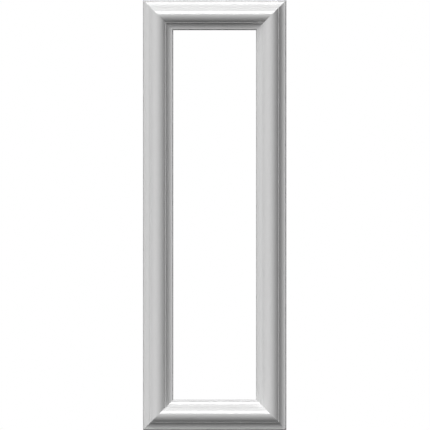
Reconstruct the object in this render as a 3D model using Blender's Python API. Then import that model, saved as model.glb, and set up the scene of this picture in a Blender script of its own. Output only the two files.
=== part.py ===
"""Wainscot panel moulding: one cast frame of panel moulding with mitred corners and an open field.

Metres, +Z up. The frame stands upright with its flat back on a wall, the plane Y = 0, and it faces -Y.
The origin is on that back, in the middle of the bottom rail. The moulding's section is the same on both
sides of its centre line. From the centre outwards it has a dome, a fillet, a cove, a lip and a drafted edge.
"""

import math

import bpy
from mathutils import Vector

# The frame, from outside edge to outside edge
PANEL_WIDTH = 0.2032
PANEL_HEIGHT = 0.6096

# The members of the section, from its centre line outwards: each one's run across and its fall to the wall
DOME_HALF_WIDTH = 0.01
DOME_RISE = 0.0057
FILLET_RUN = 0.0009
FILLET_FALL = 0.0001
COVE_RUN = 0.0077
COVE_DROP = 0.00565
LIP_RUN = 0.0021
LIP_FALL = 0.00005
EDGE_DRAFT = 0.00073
EDGE_DROP = 0.0044

# How much of an ellipse's quarter each half of the dome takes in
DOME_END_ANGLE = math.radians(49.0)

# How far the cove is hollowed below a straight line, and the radius of the lip's outer corner
COVE_HOLLOW = 0.0011
CORNER_RADIUS = 0.0008

# Straight facets that stand for each half of the dome, the cove and the lip's outer corner
DOME_FACETS = 14
COVE_FACETS = 12
CORNER_FACETS = 4

# Finish of the factory primer
PRIMER_COLOUR = (0.86, 0.86, 0.85, 1.0)
PRIMER_ROUGHNESS = 0.35

SMOOTH_BELOW = math.radians(12.0)


def arc(start, end, bulge, facets):
    """Points along the circular arc from start to end, without the start.

    The arc's middle stands off the chord by bulge, to the left of the way from start to end.
    """
    chord = end - start
    across = Vector((-chord.y, chord.x)).normalized()
    half_angle = 2.0 * math.atan2(2.0 * bulge, chord.length)
    radius = chord.length / (2.0 * math.sin(half_angle))
    centre = (start + end) / 2.0 - across * (radius * math.cos(half_angle))
    turns = [half_angle - 2.0 * half_angle * step / facets for step in range(1, facets + 1)]
    along = chord.normalized()
    return [centre + radius * (across * math.cos(turn) - along * math.sin(turn)) for turn in turns]


def rounded_corner(before, corner, after, radius, facets):
    """Points of the arc of this radius that rounds the corner between two straight stretches."""
    back = (before - corner).normalized()
    onward = (after - corner).normalized()
    half_opening = back.angle(onward) / 2.0
    setback = radius / math.tan(half_opening)
    first = corner + back * setback
    last = corner + onward * setback
    bulge = radius * (1.0 - math.sin(half_opening))
    return [first] + arc(first, last, bulge, facets)


def dome(crest, foot):
    """Points of the dome from its crest to its foot, along an ellipse that is level at the crest."""
    half_axis = (foot.x - crest.x) / math.sin(DOME_END_ANGLE)
    fall = (crest.y - foot.y) / (1.0 - math.cos(DOME_END_ANGLE))
    turns = [DOME_END_ANGLE * step / DOME_FACETS for step in range(DOME_FACETS + 1)]
    return [crest + Vector((half_axis * math.sin(turn), -fall * (1.0 - math.cos(turn)))) for turn in turns]


def half_section():
    """Points of the section from the top of its dome out to the wall, as (across, above the wall)."""
    edge_foot = Vector((0.0, 0.0))
    lip_corner = edge_foot + Vector((-EDGE_DRAFT, EDGE_DROP))
    lip_start = lip_corner + Vector((-LIP_RUN, LIP_FALL))
    cove_start = lip_start + Vector((-COVE_RUN, COVE_DROP))
    dome_foot = cove_start + Vector((-FILLET_RUN, FILLET_FALL))
    crest = dome_foot + Vector((-DOME_HALF_WIDTH, DOME_RISE))

    points = dome(crest, dome_foot) + [cove_start]
    points += arc(cove_start, lip_start, -COVE_HOLLOW, COVE_FACETS)
    points += rounded_corner(lip_start, lip_corner, edge_foot, CORNER_RADIUS, CORNER_FACETS)
    points.append(edge_foot)
    return [Vector((point.x - crest.x, point.y)) for point in points]


def section():
    """Points of the whole closed section, the half section and its mirror image."""
    outer = half_section()
    inner = [Vector((-point.x, point.y)) for point in reversed(outer[1:])]
    return inner + outer


def poly_curve(name, points):
    """A flat curve object with one closed line of straight stretches through the points."""
    data = bpy.data.curves.new(name, "CURVE")
    data.dimensions = "2D"
    data.fill_mode = "NONE"
    line = data.splines.new("POLY")
    line.points.add(len(points) - 1)
    for place, point in zip(line.points, points):
        place.co = (point.x, point.y, 0.0, 1.0)
    line.use_cyclic_u = True
    guide = bpy.data.objects.new(name, data)
    guide.hide_render = True
    guide.display_type = "WIRE"
    bpy.context.scene.collection.objects.link(guide)
    return guide


def primer():
    """The white primer that the frame leaves the works in."""
    material = bpy.data.materials.new("white_primer")
    material.use_nodes = True
    shader = material.node_tree.nodes["Principled BSDF"]
    shader.inputs["Base Color"].default_value = PRIMER_COLOUR
    shader.inputs["Roughness"].default_value = PRIMER_ROUGHNESS
    shader.inputs["Metallic"].default_value = 0.0
    material.diffuse_color = PRIMER_COLOUR
    return material


def centre_line(moulding_width):
    """Corners of the moulding's centre line, anticlockwise from the bottom left, as the front shows it."""
    half_width = (PANEL_WIDTH - moulding_width) / 2.0
    height = PANEL_HEIGHT - moulding_width
    return [
        Vector((-half_width, 0.0)),
        Vector((half_width, 0.0)),
        Vector((half_width, height)),
        Vector((-half_width, height)),
    ]


def main():
    """Carries the section round the centre line, which mitres the corners, and stands the frame up."""
    for old in list(bpy.data.objects):
        bpy.data.objects.remove(old)

    points = section()
    moulding_width = points[-1].x - points[0].x
    profile = poly_curve("moulding_section", points)
    path = poly_curve("moulding_centre_line", centre_line(moulding_width))
    path.data.bevel_mode = "OBJECT"
    path.data.bevel_object = profile
    swept = path.evaluated_get(bpy.context.evaluated_depsgraph_get())

    frame_mesh = bpy.data.meshes.new_from_object(swept)
    frame_mesh.name = "panel_frame"
    frame_mesh.materials.clear()
    frame_mesh.materials.append(primer())
    frame_mesh.shade_smooth()
    frame_mesh.set_sharp_from_angle(angle=SMOOTH_BELOW)
    frame = bpy.data.objects.new("panel_frame", frame_mesh)
    frame.rotation_euler = (math.radians(90.0), 0.0, 0.0)

    collection = bpy.data.collections.new("wainscot_panel_moulding")
    bpy.context.scene.collection.children.link(collection)
    collection.objects.link(frame)
    bpy.data.objects.remove(path)
    bpy.data.objects.remove(profile)


main()
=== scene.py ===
"""Wainscot panel moulding in white primer, square on to the camera in a plain studio.

Metres, +Z up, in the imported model's own frame: the flat back lies on the plane Y = 0, the moulded face looks along
-Y, and the origin is on the back in the middle of the bottom rail. The frame is one casting, so it is one piece: the
moulding's section, carried round the centre line, with every arris and mitre eased as a coat of primer eases them.
"""

import logging
import math
from dataclasses import dataclass
from enum import Enum
from typing import ClassVar

import bpy
import numpy as np
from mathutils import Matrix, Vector
from numpy.typing import NDArray

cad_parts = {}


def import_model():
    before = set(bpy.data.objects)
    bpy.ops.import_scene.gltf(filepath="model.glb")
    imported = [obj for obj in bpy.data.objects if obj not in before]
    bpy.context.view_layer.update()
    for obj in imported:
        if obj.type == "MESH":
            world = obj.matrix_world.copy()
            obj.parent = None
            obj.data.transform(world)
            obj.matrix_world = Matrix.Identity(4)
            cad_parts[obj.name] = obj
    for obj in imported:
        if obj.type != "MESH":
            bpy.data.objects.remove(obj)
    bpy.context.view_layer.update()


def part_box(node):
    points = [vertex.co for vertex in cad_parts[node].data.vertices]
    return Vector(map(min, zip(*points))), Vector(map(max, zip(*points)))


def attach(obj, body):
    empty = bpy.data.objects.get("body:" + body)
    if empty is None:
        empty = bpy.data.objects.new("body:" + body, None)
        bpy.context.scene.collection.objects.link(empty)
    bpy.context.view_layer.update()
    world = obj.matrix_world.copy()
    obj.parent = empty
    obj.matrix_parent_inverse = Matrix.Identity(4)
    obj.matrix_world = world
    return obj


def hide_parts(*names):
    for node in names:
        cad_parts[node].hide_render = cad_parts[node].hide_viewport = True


Array = NDArray[np.float64]
Colour = tuple[float, float, float]
Socket = bpy.types.NodeSocket | float
Tone = bpy.types.NodeSocket | Colour

UV_MAP = "along_and_round"
LOG = logging.getLogger("wainscot_panel")


class Skin(Enum):
    """The two skins of the casting, in the order of the piece's material slots."""

    PRIMED_FACE = 0
    RAW_BACK = 1


def unit(vectors: Array) -> Array:
    """The vectors, each brought to a length of one along the last axis."""
    return vectors / np.linalg.norm(vectors, axis=-1, keepdims=True)


def ease_corners(before: Array, corner: Array, after: Array, radius: Array, facets: int) -> Array:
    """Rounds corners of an outline, each with an arc that touches both of its sides.

    The arc's centre lies on the line that halves the corner, at radius / sin(half the corner's angle). The arc turns
    about it from one side to the other by 180 degrees less the corner's angle.

    Args:
        before: Points on the sides that lead to the corners, one row for each corner.
        corner: The corners themselves.
        after: Points on the sides that lead away from them.
        radius: Each arc's radius.
        facets: Straight stretches that stand for an arc.

    Returns:
        The arcs' points, of shape (corners, facets + 1, 2).
    """
    back = unit(before - corner)
    onward = unit(after - corner)
    half_angle = np.arccos(np.clip((back * onward).sum(axis=1), -1.0, 1.0)) / 2.0
    centre = corner + unit(back + onward) * (radius / np.sin(half_angle))[:, None]
    spoke = corner + back * (radius / np.tan(half_angle))[:, None] - centre
    turning = np.sign(back[:, 1] * onward[:, 0] - back[:, 0] * onward[:, 1])
    sweep = turning * (math.pi - 2.0 * half_angle)
    turn = sweep[:, None] * np.linspace(0.0, 1.0, facets + 1)
    cosine, sine = np.cos(turn), np.sin(turn)
    across = spoke[:, 0, None] * cosine - spoke[:, 1, None] * sine
    above = spoke[:, 0, None] * sine + spoke[:, 1, None] * cosine
    return centre[:, None, :] + np.stack([across, above], axis=2)


def shorten_stretches(points: Array, longest: float) -> Array:
    """Divides each stretch of an outline evenly, so that none is longer than a given length.

    Args:
        points: The outline, one point a row.
        longest: The greatest length of a stretch.

    Returns:
        The outline with the points that divide its long stretches.
    """
    step = np.diff(points, axis=0)
    shares = np.maximum(np.ceil(np.linalg.norm(step, axis=1) / longest), 1).astype(int)
    stretch = np.repeat(np.arange(len(step)), shares)
    first = np.repeat(np.cumsum(shares) - shares, shares)
    fraction = (np.arange(len(stretch)) - first) / shares[stretch]
    return np.vstack([points[stretch] + step[stretch] * fraction[:, None], points[-1]])


@dataclass(frozen=True)
class MouldingSection:
    """The moulding's section, the same on both sides of its centre line.

    Its members follow each other outwards from the dome on the centre line: the fillet, the cove, the lip and the
    drafted edge. Runs are across the moulding, and drops and falls are towards the wall.

    Attributes:
        dome_half_width: Run of half the dome.
        dome_rise: Height of its crest above its end.
        dome_end_angle: Angle of its ellipse at its end, counted from the crest.
        fillet_run: Run of the fillet.
        fillet_fall: Its fall.
        cove_run: Run of the cove.
        cove_drop: Its drop.
        cove_hollow: Greatest depth of its arc below its chord.
        lip_run: Run of the lip.
        lip_fall: Its fall.
        edge_draft: Run of the edge, which leans outwards for the mould.
        edge_drop: Its drop to the wall.
        quirk_radius: Radius in the corner between dome and fillet.
        arris_radius: Radius on the outer arris of the fillet.
        cove_toe_radius: Radius between cove and lip.
        lip_radius: Radius on the outer corner of the lip.
        dome_facets: Straight stretches along half the dome.
        cove_facets: Straight stretches along the cove.
        corner_facets: Straight stretches round a corner.
        longest_stretch: Greatest length of a straight stretch.
    """

    dome_half_width: float = 0.01
    dome_rise: float = 0.0057
    dome_end_angle: float = math.radians(49.0)
    fillet_run: float = 0.0009
    fillet_fall: float = 0.0001
    cove_run: float = 0.0077
    cove_drop: float = 0.00565
    cove_hollow: float = 0.0011
    lip_run: float = 0.0021
    lip_fall: float = 0.00005
    edge_draft: float = 0.00073
    edge_drop: float = 0.0044

    quirk_radius: float = 0.00015
    arris_radius: float = 0.00013
    cove_toe_radius: float = 0.0007
    lip_radius: float = 0.0014

    dome_facets: int = 40
    cove_facets: int = 30
    corner_facets: int = 5
    longest_stretch: float = 0.0004

    @property
    def width(self) -> float:
        """The whole moulding across, from the foot of one drafted edge to the foot of the other."""
        return 2.0 * self.corners()[-1, 0]

    @property
    def girth(self) -> float:
        """The length of the front's outline, from one foot over the dome to the other."""
        return float(np.linalg.norm(np.diff(self.outline(), axis=0), axis=1).sum())

    @property
    def projection(self) -> float:
        """The height of the dome's crest above the wall."""
        return float(self.corners()[0, 1]) + self.dome_rise

    def corners(self) -> Array:
        """Adds up the runs and the drops of the members.

        Returns:
            The corners between the members, from the end of the dome to the foot of the edge, one a row as distance
            from the centre line and height above the wall.
        """
        runs = [self.dome_half_width, self.fillet_run, self.cove_run, self.lip_run, self.edge_draft]
        drops = [self.fillet_fall, self.cove_drop, self.lip_fall, self.edge_drop, 0.0]
        height = np.cumsum(drops[::-1])[::-1]
        return np.stack([np.cumsum(runs), height], axis=1)

    def dome(self) -> Array:
        """The dome from its crest to its end, an arc of an ellipse that is level at the crest.

        Returns:
            Points at even steps of the ellipse's angle t, at sin(t) / sin(t at the end) of the half width from the
            centre line and (1 - cos(t)) / (1 - cos(t at the end)) of the rise below the crest.
        """
        turn = np.linspace(0.0, self.dome_end_angle, self.dome_facets + 1)
        across = self.dome_half_width * np.sin(turn) / math.sin(self.dome_end_angle)
        fall = self.dome_rise * (1.0 - np.cos(turn)) / (1.0 - math.cos(self.dome_end_angle))
        return np.stack([across, self.projection - fall], axis=1)

    def cove(self, start: Array, end: Array) -> Array:
        """The cove's hollow arc, whose middle lies below its chord by the cove's hollow.

        Args:
            start: The outer arris of the fillet.
            end: The start of the lip.

        Returns:
            Points at even angles on the arc, from its start to its end.
        """
        chord = end - start
        half_angle = 2.0 * math.atan2(2.0 * self.cove_hollow, float(np.hypot(*chord)))
        radius = float(np.hypot(*chord)) / (2.0 * math.sin(half_angle))
        along = unit(chord)
        outwards = np.array([-along[1], along[0]])
        turn = np.linspace(-half_angle, half_angle, self.cove_facets + 1)[:, None]
        centre = (start + end) / 2.0 + outwards * (radius * math.cos(half_angle))
        return centre + radius * (along * np.sin(turn) - outwards * np.cos(turn))

    def half_outline(self) -> Array:
        """The eased outline from the crest of the dome to the foot of the edge.

        Returns:
            Points as distance from the centre line and height above the wall.
        """
        corner = self.corners()
        dome = self.dome()
        cove = self.cove(corner[1], corner[2])
        before = np.vstack([dome[-2], corner[0], cove[-2], corner[2]])
        after = np.vstack([corner[1], cove[1], corner[3], corner[4]])
        radius = np.array([self.quirk_radius, self.arris_radius, self.cove_toe_radius, self.lip_radius])
        arcs = ease_corners(before, corner[:4], after, radius, self.corner_facets)
        rest_of_dome = dome[dome[:, 0] < arcs[0, 0, 0]]
        rest_of_cove = cove[(cove[:, 0] > arcs[1, -1, 0]) & (cove[:, 0] < arcs[2, 0, 0])]
        line = [rest_of_dome, *arcs[:2], rest_of_cove, *arcs[2:], corner[4:]]
        return shorten_stretches(np.vstack(line), self.longest_stretch)

    def outline(self) -> Array:
        """The whole front of the section, the half outline and its mirror image, from the inner foot outwards."""
        outer = self.half_outline()
        return np.vstack([outer[:0:-1] * (-1.0, 1.0), outer])


@dataclass(frozen=True)
class Curvature:
    """How sharply an outline turns, as masks for the finish.

    Attributes:
        arris: From 0 on a flat or a hollow to 1 on a rounded edge.
        recess: From 0 on a flat or a round to 1 in a hollow corner, where the primer finish paints shade and makes
            the surface rougher.
    """

    arris: Array
    recess: Array

    @classmethod
    def of(cls, outline: Array, full_at: float) -> "Curvature":
        """Measures an outline, point by point.

        The curvature at a point is the angle between the stretches before and after it, over their mean length.

        Args:
            outline: The points, from one end to the other.
            full_at: The radius at which a mask reaches 1.

        Returns:
            The two masks, one value for each point.
        """
        step = np.diff(outline, axis=0)
        heading = np.unwrap(np.arctan2(step[:, 1], step[:, 0]))
        length = np.linalg.norm(step, axis=1)
        bend = np.diff(heading) / ((length[1:] + length[:-1]) / 2.0)
        bend = np.pad(bend, 1) * full_at
        return cls(arris=np.clip(-bend, 0.0, 1.0), recess=np.clip(bend, 0.0, 1.0))


@dataclass
class MouldedFrame:
    """The frame: the section carried round a rectangular centre line, its mitres eased by a small radius.

    Attributes:
        section: The moulding's section.
        low: The lowest corner of the frame's box.
        high: Its highest corner.
        mitre_radius: Radius that eases the frame's corners and with them its mitres.
        mitre_facets: Straight stretches across an eased mitre.
        mitre_margin: Share of a side, next to a mitre, that the first and last strip of the side take.
        strips: Strips along a side between those two.
        mask_radius: Radius at which an arris or a recess counts in full for the finish.
    """

    section: MouldingSection
    low: Vector
    high: Vector
    mitre_radius: float = 0.00025
    mitre_facets: int = 4
    mitre_margin: float = 0.003
    strips: int = 22
    mask_radius: float = 0.001

    def stations(self) -> tuple[Array, Array]:
        """Lays out the places along the centre line at which the section is set.

        At each place, a point of the section at a distance u outwards from the centre line lies at base + u * spread.
        At a corner the spread is the mitre's diagonal, and between two corners it passes evenly from one diagonal to
        the other, which keeps every line of the moulding straight.

        Returns:
            The bases and the spreads, one row for each place, as (x, z), anticlockwise as the front is seen.
        """
        half_sides = np.array([self.high.x - self.low.x, self.high.z - self.low.z]) / 2.0 - self.section.width / 2.0
        middle = np.array([self.high.x + self.low.x, self.high.z + self.low.z]) / 2.0
        diagonal = np.array([[-1.0, -1.0], [1.0, -1.0], [1.0, 1.0], [-1.0, 1.0]])
        turn = np.linspace(0.0, math.pi / 2.0, self.mitre_facets + 1)
        quarter = np.arange(4)[:, None] * math.pi / 2.0 - math.pi + turn
        arc = np.stack([np.cos(quarter), np.sin(quarter)], axis=2) * self.mitre_radius
        corner = middle + diagonal * (half_sides - self.mitre_radius)
        bend = corner[:, None, :] + arc

        share = np.linspace(self.mitre_margin, 1.0 - self.mitre_margin, self.strips + 1)[:, None]
        left, reached = bend[:, -1, None], np.roll(bend[:, 0], -1, axis=0)[:, None]
        straight = left + (reached - left) * share
        spread = diagonal[:, None] + (np.roll(diagonal, -1, axis=0) - diagonal)[:, None] * share
        base = np.concatenate([bend, straight], axis=1).reshape(-1, 2)
        at_bend = np.repeat(diagonal[:, None], self.mitre_facets + 1, axis=1)
        return base, np.concatenate([at_bend, spread], axis=1).reshape(-1, 2)

    def surface(self, outline: Array) -> Array:
        """Carries the outline round the frame.

        Args:
            outline: The front of the section, as distance from the centre line and height above the wall.

        Returns:
            The points on a grid of shape (places, outline points, 3).
        """
        base, spread = self.stations()
        flat = base[:, None, :] + spread[:, None, :] * outline[None, :, :1]
        depth = np.broadcast_to(-outline[:, 1], flat.shape[:2])
        return np.stack([flat[..., 0], depth, flat[..., 1]], axis=2)

    def faces(self, places: int, across: int) -> Array:
        """Joins the grid with quads that close on themselves both ways, the back being the last strip across.

        Args:
            places: Places along the centre line.
            across: Points of the outline.

        Returns:
            Four vertex numbers a row, facing outwards, with the strips of the section changing fastest.
        """
        place = np.arange(places)[:, None]
        point = np.arange(across)[None, :]
        ahead, beside = (place + 1) % places, (point + 1) % across
        corners = [place * across + point, place * across + beside, ahead * across + beside, ahead * across + point]
        return np.stack([np.broadcast_to(c, (places, across)) for c in corners], axis=2).reshape(-1, 4)

    def build(self) -> bpy.types.Object:
        """Makes the frame's mesh, with its two skins, its crisp back edges and the masks for its finish.

        Returns:
            The object, at the origin, with no materials yet.
        """
        outline = self.section.outline()
        grid = self.surface(outline)
        places, across = grid.shape[:2]
        faces = self.faces(places, across)
        mesh = bpy.data.meshes.new("moulded_frame")
        mesh.from_pydata(grid.reshape(-1, 3), [], faces)
        mesh.update()

        on_back = np.arange(len(faces)) % across == across - 1
        mesh.polygons.foreach_set("material_index", on_back.astype(np.int32) * Skin.RAW_BACK.value)
        mesh.shade_smooth()
        ends = np.empty(len(mesh.edges) * 2, dtype=np.int32)
        mesh.edges.foreach_get("vertices", ends)
        strip = ends.reshape(-1, 2) % across
        crisp = (strip[:, 0] == strip[:, 1]) & np.isin(strip[:, 0], [0, across - 1])
        mesh.attributes.new("sharp_edge", "BOOLEAN", "EDGE").data.foreach_set("value", crisp)

        masks = Curvature.of(outline, self.mask_radius)
        for name, values in (("arris", masks.arris), ("recess", masks.recess)):
            spots = np.tile(values, places).astype(np.float32)
            mesh.attributes.new(name, "FLOAT", "POINT").data.foreach_set("value", spots)
        self.lay_out(mesh, outline, places)

        frame = bpy.data.objects.new("moulded_frame", mesh)
        bpy.context.scene.collection.objects.link(frame)
        return frame

    def lay_out(self, mesh: bpy.types.Mesh, outline: Array, places: int) -> None:
        """Gives the mesh a UV map in metres, U along the moulding and V round its section.

        Args:
            mesh: The frame's mesh, its faces in the order that faces() gives.
            outline: The front of the section.
            places: Places along the centre line.
        """
        base, _ = self.stations()
        run = np.concatenate([[0.0], np.cumsum(np.linalg.norm(np.diff(np.vstack([base, base[0]]), axis=0), axis=1))])
        closed = np.vstack([outline, outline[0]])
        girth = np.concatenate([[0.0], np.cumsum(np.linalg.norm(np.diff(closed, axis=0), axis=1))])
        here, ahead = run[:-1, None], run[1:, None]
        near, beside = girth[None, :-1], girth[None, 1:]
        corners = [(here, near), (here, beside), (ahead, beside), (ahead, near)]
        shape = (places, len(outline))
        maps = [np.stack([np.broadcast_to(u, shape), np.broadcast_to(v, shape)], axis=2) for u, v in corners]
        layer = mesh.uv_layers.new(name=UV_MAP)
        layer.uv.foreach_set("vector", np.stack(maps, axis=2).astype(np.float32).ravel())


class SkinPattern:
    """Node group for the fine surface of a casting, which both of its finishes use with their own sizes.

    Its inputs are the size of the grain, the size of the mottle and the size and share of the pores. Its outputs are
    values from 0 to 1 that change over the surface: Grain, Mottle and Pores. A pore's wall runs from its rim to its
    floor, both given as a distance from the middle of its cell in shares of the cell's size.
    """

    NAME: ClassVar[str] = "casting_skin"
    INPUTS: ClassVar[dict[str, float]] = {"Grain Size": 0.001, "Mottle Size": 0.03, "Pore Size": 0.004,
                                          "Pore Share": 0.1}
    NOISE_DETAIL: ClassVar[dict[str, float]] = {"Grain": 2.0, "Mottle": 3.0}
    PORE_RIM: ClassVar[float] = 0.22
    PORE_FLOOR: ClassVar[float] = 0.1

    def __init__(self) -> None:
        """Makes the group's sockets and nodes."""
        self.tree = bpy.data.node_groups.new(self.NAME, "ShaderNodeTree")
        sockets = self.tree.interface
        for name, value in self.INPUTS.items():
            socket = sockets.new_socket(name, in_out="INPUT", socket_type="NodeSocketFloat")
            socket.default_value = value
        for name in ("Grain", "Mottle", "Pores"):
            sockets.new_socket(name, in_out="OUTPUT", socket_type="NodeSocketFloat")
        self._fill()

    def _fill(self) -> None:
        """Makes the grain and the mottle from noise, and the pores from the cells whose own value is small."""
        nodes, links = self.tree.nodes, self.tree.links
        entry = nodes.new("NodeGroupInput")
        leave = nodes.new("NodeGroupOutput")
        place = nodes.new("ShaderNodeTexCoord")

        for name, detail in self.NOISE_DETAIL.items():
            noise = nodes.new("ShaderNodeTexNoise")
            noise.inputs["Detail"].default_value = detail
            links.new(place.outputs["Object"], noise.inputs["Vector"])
            links.new(self._inverse(entry.outputs[f"{name} Size"]), noise.inputs["Scale"])
            links.new(noise.outputs["Fac"], leave.inputs[name])

        cells = nodes.new("ShaderNodeTexVoronoi")
        links.new(place.outputs["Object"], cells.inputs["Vector"])
        links.new(self._inverse(entry.outputs["Pore Size"]), cells.inputs["Scale"])
        pit = nodes.new("ShaderNodeMapRange")
        pit.interpolation_type = "SMOOTHSTEP"
        pit.inputs["From Min"].default_value = self.PORE_RIM
        pit.inputs["From Max"].default_value = self.PORE_FLOOR
        links.new(cells.outputs["Distance"], pit.inputs["Value"])
        chance = nodes.new("ShaderNodeSeparateColor")
        links.new(cells.outputs["Color"], chance.inputs["Color"])
        few = nodes.new("ShaderNodeMath")
        few.operation = "LESS_THAN"
        links.new(chance.outputs["Red"], few.inputs[0])
        links.new(entry.outputs["Pore Share"], few.inputs[1])
        pores = nodes.new("ShaderNodeMath")
        pores.operation = "MULTIPLY"
        links.new(pit.outputs["Result"], pores.inputs[0])
        links.new(few.outputs["Value"], pores.inputs[1])
        links.new(pores.outputs["Value"], leave.inputs["Pores"])

    def _inverse(self, size: bpy.types.NodeSocket) -> bpy.types.NodeSocket:
        """A texture's scale, which is one over the size of its cells.

        Args:
            size: The socket that gives the size in metres.

        Returns:
            The socket that gives the scale.
        """
        node = self.tree.nodes.new("ShaderNodeMath")
        node.operation = "DIVIDE"
        node.inputs[0].default_value = 1.0
        self.tree.links.new(size, node.inputs[1])
        return node.outputs["Value"]


@dataclass(frozen=True)
class Finish:
    """What the two finishes share: a name, tones, gloss and the sizes of their fine surface.

    Attributes:
        name: The material's name.
        light: Colour of the lightest spots.
        dark: Colour of the darkest spots.
        roughness: The smoothest and the roughest value.
        grain_size: Size of the grain, in metres.
        grain_depth: Its height, in metres.
        mottle_size: Size of the spots, in metres.
        pore_size: Size of the cells that may hold a pore, in metres.
        pore_share: Share of the cells that hold one.
        pore_depth: Depth of a pore, in metres.
    """

    name: str
    light: Colour
    dark: Colour
    roughness: tuple[float, float]
    grain_size: float
    grain_depth: float
    mottle_size: float
    pore_size: float
    pore_share: float
    pore_depth: float

    def start(self, skin: SkinPattern) -> "FinishNodes":
        """Makes the material with its shader and its own copy of the skin's pattern.

        Args:
            skin: The group that both finishes use.

        Returns:
            The material and the nodes that a finish goes on from.
        """
        material = bpy.data.materials.new(self.name)
        material.use_nodes = True
        material.diffuse_color = (*self.light, 1.0)
        tree = material.node_tree
        shader = tree.nodes["Principled BSDF"]
        pattern = tree.nodes.new("ShaderNodeGroup")
        pattern.node_tree = skin.tree
        pattern.inputs["Grain Size"].default_value = self.grain_size
        pattern.inputs["Mottle Size"].default_value = self.mottle_size
        pattern.inputs["Pore Size"].default_value = self.pore_size
        pattern.inputs["Pore Share"].default_value = self.pore_share
        return FinishNodes(material, shader, pattern)


@dataclass
class FinishNodes:
    """A material under construction.

    Attributes:
        material: The material.
        shader: Its Principled BSDF.
        pattern: Its copy of the casting's fine surface.
    """

    material: bpy.types.Material
    shader: bpy.types.Node
    pattern: bpy.types.Node

    def math(self, operation: str, first: Socket, second: Socket) -> bpy.types.NodeSocket:
        """Adds a Math node.

        Args:
            operation: Blender's name for what it does.
            first: A socket or a number.
            second: A socket or a number.

        Returns:
            The socket with the result.
        """
        node = self.material.node_tree.nodes.new("ShaderNodeMath")
        node.operation = operation
        self.feed(first, node.inputs[0])
        self.feed(second, node.inputs[1])
        return node.outputs["Value"]

    def feed(self, value: Socket, socket: bpy.types.NodeSocket) -> None:
        """Links a socket to an input, or sets the input to a number."""
        if isinstance(value, bpy.types.NodeSocket):
            self.material.node_tree.links.new(value, socket)
        else:
            socket.default_value = value

    def between(self, share: bpy.types.NodeSocket, low: float, high: float) -> bpy.types.NodeSocket:
        """Spreads a share from 0 to 1 between two values.

        Args:
            share: The socket with the share.
            low: What a share of 0 gives.
            high: What a share of 1 gives.

        Returns:
            The socket with the result.
        """
        node = self.material.node_tree.nodes.new("ShaderNodeMapRange")
        node.inputs["To Min"].default_value = low
        node.inputs["To Max"].default_value = high
        self.feed(share, node.inputs["Value"])
        return node.outputs["Result"]

    def blend(self, share: bpy.types.NodeSocket, low: Tone, high: Tone) -> bpy.types.NodeSocket:
        """Mixes two colours.

        The node has sockets of the same name for numbers and for colours, so its colour sockets are taken by number.

        Args:
            share: The socket with the second colour's share.
            low: The first colour, or a socket with it.
            high: The second colour, or a socket with it.

        Returns:
            The socket with the mix.
        """
        node = self.material.node_tree.nodes.new("ShaderNodeMix")
        node.data_type = "RGBA"
        self.feed(share, node.inputs[0])
        for tone, socket in ((low, node.inputs[6]), (high, node.inputs[7])):
            self.feed(tone if isinstance(tone, bpy.types.NodeSocket) else (*tone, 1.0), socket)
        return node.outputs[2]

    def mask(self, name: str) -> bpy.types.NodeSocket:
        """The value of one of the mesh's own masks."""
        node = self.material.node_tree.nodes.new("ShaderNodeAttribute")
        node.attribute_name = name
        return node.outputs["Fac"]

    def raise_surface(self, height: bpy.types.NodeSocket, distance: float) -> None:
        """Bumps the surface.

        Args:
            height: The socket with the height, from 0 to 1.
            distance: What a height of 1 stands for, in metres.
        """
        bump = self.material.node_tree.nodes.new("ShaderNodeBump")
        bump.inputs["Distance"].default_value = distance
        self.feed(height, bump.inputs["Height"])
        self.material.node_tree.links.new(bump.outputs["Normal"], self.shader.inputs["Normal"])


@dataclass(frozen=True)
class PrimerFinish(Finish):
    """Satin white primer over the whole moulded face.

    Attributes:
        recess_painted_shade: Painted shade, a darker colour laid into the hollow corners.
        recess_rougher: How much rougher it is there.
        arris_rougher: How much rougher it is over an edge, where the primer thins.
    """

    name: str = "white_primer"
    light: Colour = (0.845, 0.845, 0.845)
    dark: Colour = (0.835, 0.835, 0.835)
    roughness: tuple[float, float] = (0.09, 0.105)
    grain_size: float = 0.0008
    grain_depth: float = 0.0000006
    mottle_size: float = 0.04
    pore_size: float = 0.012
    pore_share: float = 0.05
    pore_depth: float = 0.00002
    recess_painted_shade: Colour = (0.8, 0.8, 0.8)
    recess_rougher: float = 0.15
    arris_rougher: float = 0.2

    def material(self, skin: SkinPattern) -> bpy.types.Material:
        """Builds the material.

        Args:
            skin: The fine surface of the casting.

        Returns:
            The finished material.
        """
        nodes = self.start(skin)
        mottle, grain = nodes.pattern.outputs["Mottle"], nodes.pattern.outputs["Grain"]
        recess = nodes.mask("recess")
        tone = nodes.blend(mottle, self.dark, self.light)
        # Painted shade: the hollow corners are darkened towards recess_painted_shade.
        nodes.feed(nodes.blend(recess, tone, self.recess_painted_shade), nodes.shader.inputs["Base Color"])

        gloss = nodes.between(mottle, *self.roughness)
        gloss = nodes.math("ADD", gloss, nodes.math("MULTIPLY", recess, self.recess_rougher))
        gloss = nodes.math("ADD", gloss, nodes.math("MULTIPLY", nodes.mask("arris"), self.arris_rougher))
        nodes.feed(gloss, nodes.shader.inputs["Roughness"])

        pits = nodes.math("MULTIPLY", nodes.pattern.outputs["Pores"], self.pore_depth / self.grain_depth)
        nodes.raise_surface(nodes.math("SUBTRACT", grain, pits), self.grain_depth)
        return nodes.material


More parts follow.
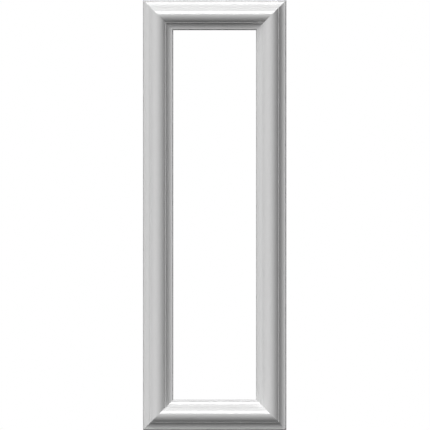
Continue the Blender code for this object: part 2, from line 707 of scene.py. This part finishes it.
@dataclass(frozen=True)
class RawBackFinish(Finish):
    """The bare back of the casting, sanded flat, with primer blown over its edges.

    Attributes:
        spray: Colour of the primer at the edges.
        spray_reach: How far the primer reaches in from an edge, in metres.
        spray_ragged: Shares that the mottle stretches the distance from an edge by, which breaks the spray's line.
        pore_painted_shade: Painted shade, a darker colour laid into the pores.
    """

    name: str = "raw_cast_back"
    light: Colour = (0.8, 0.775, 0.71)
    dark: Colour = (0.75, 0.72, 0.65)
    roughness: tuple[float, float] = (0.6, 0.72)
    grain_size: float = 0.0006
    grain_depth: float = 0.00003
    mottle_size: float = 0.02
    pore_size: float = 0.0025
    pore_share: float = 0.3
    pore_depth: float = 0.0002
    spray: Colour = (0.84, 0.84, 0.835)
    spray_reach: float = 0.004
    spray_ragged: tuple[float, float] = (0.5, 1.5)
    pore_painted_shade: Colour = (0.5, 0.47, 0.4)

    def material(self, skin: SkinPattern, edges: tuple[float, float]) -> bpy.types.Material:
        """Builds the material.

        Args:
            skin: The fine surface of the casting.
            edges: Where the back starts and ends round the section, as V of the UV map.

        Returns:
            The finished material.
        """
        nodes = self.start(skin)
        mottle, pores = nodes.pattern.outputs["Mottle"], nodes.pattern.outputs["Pores"]
        where = nodes.material.node_tree.nodes.new("ShaderNodeUVMap")
        where.uv_map = UV_MAP
        parts = nodes.material.node_tree.nodes.new("ShaderNodeSeparateXYZ")
        nodes.feed(where.outputs["UV"], parts.inputs["Vector"])
        inside = nodes.math("MINIMUM", nodes.math("SUBTRACT", parts.outputs["Y"], edges[0]),
                            nodes.math("SUBTRACT", edges[1], parts.outputs["Y"]))
        ragged = nodes.math("MULTIPLY", inside, nodes.between(mottle, *self.spray_ragged))
        fade = nodes.material.node_tree.nodes.new("ShaderNodeMapRange")
        fade.interpolation_type = "SMOOTHSTEP"
        fade.inputs["From Min"].default_value = self.spray_reach
        fade.inputs["From Max"].default_value = 0.0
        nodes.feed(ragged, fade.inputs["Value"])

        tone = nodes.blend(mottle, self.dark, self.light)
        # Painted shade: the pores are darkened towards pore_painted_shade.
        tone = nodes.blend(pores, tone, self.pore_painted_shade)
        nodes.feed(nodes.blend(fade.outputs["Result"], tone, self.spray), nodes.shader.inputs["Base Color"])
        nodes.feed(nodes.between(mottle, *self.roughness), nodes.shader.inputs["Roughness"])
        pits = nodes.math("MULTIPLY", pores, self.pore_depth / self.grain_depth)
        nodes.raise_surface(nodes.math("SUBTRACT", nodes.pattern.outputs["Grain"], pits), self.grain_depth)
        return nodes.material


@dataclass(frozen=True)
class Softbox:
    """A large softbox, far enough off to light the whole frame alike, that faces the frame's middle.

    Attributes:
        name: What the light is for.
        azimuth: Degrees to the right of the frame's front, negative to the left.
        elevation: Degrees above the level.
        across: Degrees that its face takes up from side to side, as the frame sees it.
        upward: Degrees that its face takes up from bottom to top.
        brightness: Radiance of its face, where 1 shows as white.
        distance: Metres from the middle of the frame.
    """

    name: str
    azimuth: float
    elevation: float
    across: float
    upward: float
    brightness: float
    distance: float = 15.0

    def set_up(self, target: Vector) -> bpy.types.Object:
        """Stands the light in its place and turns it to the target.

        Its power is its face's radiance times its area times pi.

        Args:
            target: The point that it faces.

        Returns:
            The light.
        """
        data = bpy.data.lights.new(self.name, "AREA")
        data.shape = "RECTANGLE"
        data.size = 2.0 * self.distance * math.tan(math.radians(self.across / 2.0))
        data.size_y = 2.0 * self.distance * math.tan(math.radians(self.upward / 2.0))
        data.energy = self.brightness * data.size * data.size_y * math.pi
        azimuth, elevation = math.radians(self.azimuth), math.radians(self.elevation)
        level = math.cos(elevation)
        away = Vector((math.sin(azimuth) * level, -math.cos(azimuth) * level, math.sin(elevation)))
        light = bpy.data.objects.new(self.name, data)
        light.location = target + away * self.distance
        light.rotation_euler = away.to_track_quat("Z", "Y").to_euler()
        light.visible_camera = False
        bpy.context.scene.collection.objects.link(light)
        return light


@dataclass(frozen=True)
class FloorGlow:
    """The light that the floor before the frame throws back up, as a dim face that lies on the floor.

    Attributes:
        name: What the light is for.
        aside: How far its middle is to the right of the frame's middle, in metres.
        ahead: How far its middle is before the wall plane, in metres.
        width: Its length from side to side, in metres.
        depth: Its length from front to back, in metres.
        brightness: Radiance of its face, where 1 shows as white.
        clearance: How far it lies above the floor, in metres.
    """

    name: str = "floor_glow"
    aside: float = 0.1
    ahead: float = 0.15
    width: float = 0.7
    depth: float = 0.5
    brightness: float = 0.066
    clearance: float = 0.0005

    def set_up(self, foot: Vector) -> bpy.types.Object:
        """Lays the light just above the floor, facing up.

        Args:
            foot: The point of the floor below the middle of the frame's back.

        Returns:
            The light.
        """
        data = bpy.data.lights.new(self.name, "AREA")
        data.shape = "RECTANGLE"
        data.size, data.size_y = self.width, self.depth
        data.energy = self.brightness * self.width * self.depth * math.pi
        light = bpy.data.objects.new(self.name, data)
        light.location = foot + Vector((self.aside, -self.ahead, self.clearance))
        light.rotation_euler = (math.pi, 0.0, 0.0)
        light.visible_camera = False
        bpy.context.scene.collection.objects.link(light)
        return light


@dataclass
class Studio:
    """The plain studio: a pale floor that the frame stands on, soft light and a white surround.

    Attributes:
        floor_radius: The floor's radius.
        floor_sides: Straight stretches of its rim.
        floor_tone: Its colour.
        floor_roughness: How dull it is.
        ambient: Brightness of the surround as the frame is lit by it.
        glow: The light that the floor throws back.
        lights: The softboxes.
    """

    floor_radius: float = 12.0
    floor_sides: int = 64
    floor_tone: Colour = (0.93, 0.93, 0.93)
    floor_roughness: float = 0.8
    ambient: float = 0.01
    glow: FloorGlow = FloorGlow()
    lights: tuple[Softbox, ...] = (
        Softbox("key_softbox", azimuth=1.0, elevation=38.6, across=8.65, upward=46.0, brightness=9.52),
        Softbox("side_softbox", azimuth=-43.9, elevation=45.6, across=18.6, upward=76.3, brightness=6.06),
        Softbox("fill_softbox", azimuth=124.0, elevation=25.0, across=30.0, upward=20.0, brightness=5.5),
        Softbox("rear_softbox", azimuth=180.0, elevation=5.0, across=17.0, upward=8.0, brightness=50.0),
    )

    def build(self, middle: Vector, lowest: float) -> None:
        """Sets up the floor, the surround and the lights.

        Args:
            middle: The middle of the frame.
            lowest: The height of its lowest point.
        """
        self._floor(lowest)
        self._surround()
        self.glow.set_up(Vector((middle.x, 0.0, lowest)))
        for light in self.lights:
            light.set_up(middle)
            LOG.info("light %s at azimuth %.0f, elevation %.0f", light.name, light.azimuth, light.elevation)

    def _floor(self, height: float) -> None:
        """Lays the floor, a disc that only the camera sees, as the glow stands for what it throws back.

        From below it is clear, so that a low camera looks through it.

        Args:
            height: How high it lies.
        """
        turn = np.arange(self.floor_sides) * 2.0 * math.pi / self.floor_sides
        rim = np.stack([np.cos(turn) * self.floor_radius, np.sin(turn) * self.floor_radius,
                        np.full(self.floor_sides, height)], axis=1)
        mesh = bpy.data.meshes.new("studio_floor")
        mesh.from_pydata(rim, [], [list(range(self.floor_sides))])
        material = bpy.data.materials.new("studio_floor")
        material.use_nodes = True
        nodes, links = material.node_tree.nodes, material.node_tree.links
        shader = nodes["Principled BSDF"]
        shader.inputs["Base Color"].default_value = (*self.floor_tone, 1.0)
        shader.inputs["Roughness"].default_value = self.floor_roughness
        side = nodes.new("ShaderNodeNewGeometry")
        clear = nodes.new("ShaderNodeBsdfTransparent")
        choice = nodes.new("ShaderNodeMixShader")
        links.new(side.outputs["Backfacing"], choice.inputs["Fac"])
        links.new(shader.outputs["BSDF"], choice.inputs[1])
        links.new(clear.outputs["BSDF"], choice.inputs[2])
        links.new(choice.outputs["Shader"], nodes["Material Output"].inputs["Surface"])
        mesh.materials.append(material)
        floor = bpy.data.objects.new("studio_floor", mesh)
        floor.visible_diffuse = False
        floor.visible_glossy = False
        bpy.context.scene.collection.objects.link(floor)

    def _surround(self) -> None:
        """Makes the surround, pure white to the camera and dim to everything else."""
        world = bpy.data.worlds.new("studio_surround")
        world.use_nodes = True
        bpy.context.scene.world = world
        nodes, links = world.node_tree.nodes, world.node_tree.links
        backdrop = nodes["Background"]
        glow = nodes.new("ShaderNodeBackground")
        glow.inputs["Color"].default_value = (self.ambient, self.ambient, self.ambient, 1.0)
        backdrop.inputs["Color"].default_value = (1.0, 1.0, 1.0, 1.0)
        ray = nodes.new("ShaderNodeLightPath")
        choice = nodes.new("ShaderNodeMixShader")
        links.new(ray.outputs["Is Camera Ray"], choice.inputs["Fac"])
        links.new(glow.outputs["Background"], choice.inputs[1])
        links.new(backdrop.outputs["Background"], choice.inputs[2])
        links.new(choice.outputs["Shader"], nodes["World Output"].inputs["Surface"])


@dataclass(frozen=True)
class SquareOnCamera:
    """The camera: without perspective, level, and square on to the frame's face.

    Attributes:
        view_height: The height that its picture takes in.
        aside: How far it stands to the right of the frame's middle.
        below: How far it stands below the frame's middle.
        distance: How far in front of the frame it stands.
        sight: How far off a thing may be and still be seen.
    """

    view_height: float
    aside: float = 0.00045
    below: float = 0.0001
    distance: float = 3.0
    sight: float = 100.0

    def set_up(self, middle: Vector) -> None:
        """Makes the camera the scene's own.

        Args:
            middle: The middle of the frame.
        """
        data = bpy.data.cameras.new("square_on_camera")
        data.type = "ORTHO"
        data.ortho_scale = self.view_height
        data.clip_end = self.sight
        camera = bpy.data.objects.new("square_on_camera", data)
        camera.location = middle + Vector((self.aside, -self.distance, -self.below))
        camera.rotation_euler = (math.pi / 2.0, 0.0, 0.0)
        bpy.context.scene.collection.objects.link(camera)
        bpy.context.scene.camera = camera


def main() -> None:
    """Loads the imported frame, dresses it, lights it and stands the camera before it."""
    logging.basicConfig(level=logging.INFO, format="%(name)s: %(message)s")
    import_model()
    low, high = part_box("panel_frame")
    middle = (low + high) / 2.0
    bpy.context.scene.view_settings.view_transform = "Standard"

    section = MouldingSection()
    moulded = MouldedFrame(section, low, high)
    frame = moulded.build()
    skin = SkinPattern()
    girth = section.girth
    frame.data.materials.append(PrimerFinish().material(skin))
    frame.data.materials.append(RawBackFinish().material(skin, (girth, girth + section.width)))
    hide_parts("panel_frame")
    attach(frame, "root")
    LOG.info("%s: %d faces, %.4f m proud of the wall", frame.name, len(frame.data.polygons), section.projection)

    Studio().build(middle, low.z)
    SquareOnCamera(view_height=high.z - low.z).set_up(middle)


if __name__ == "__main__":
    main()
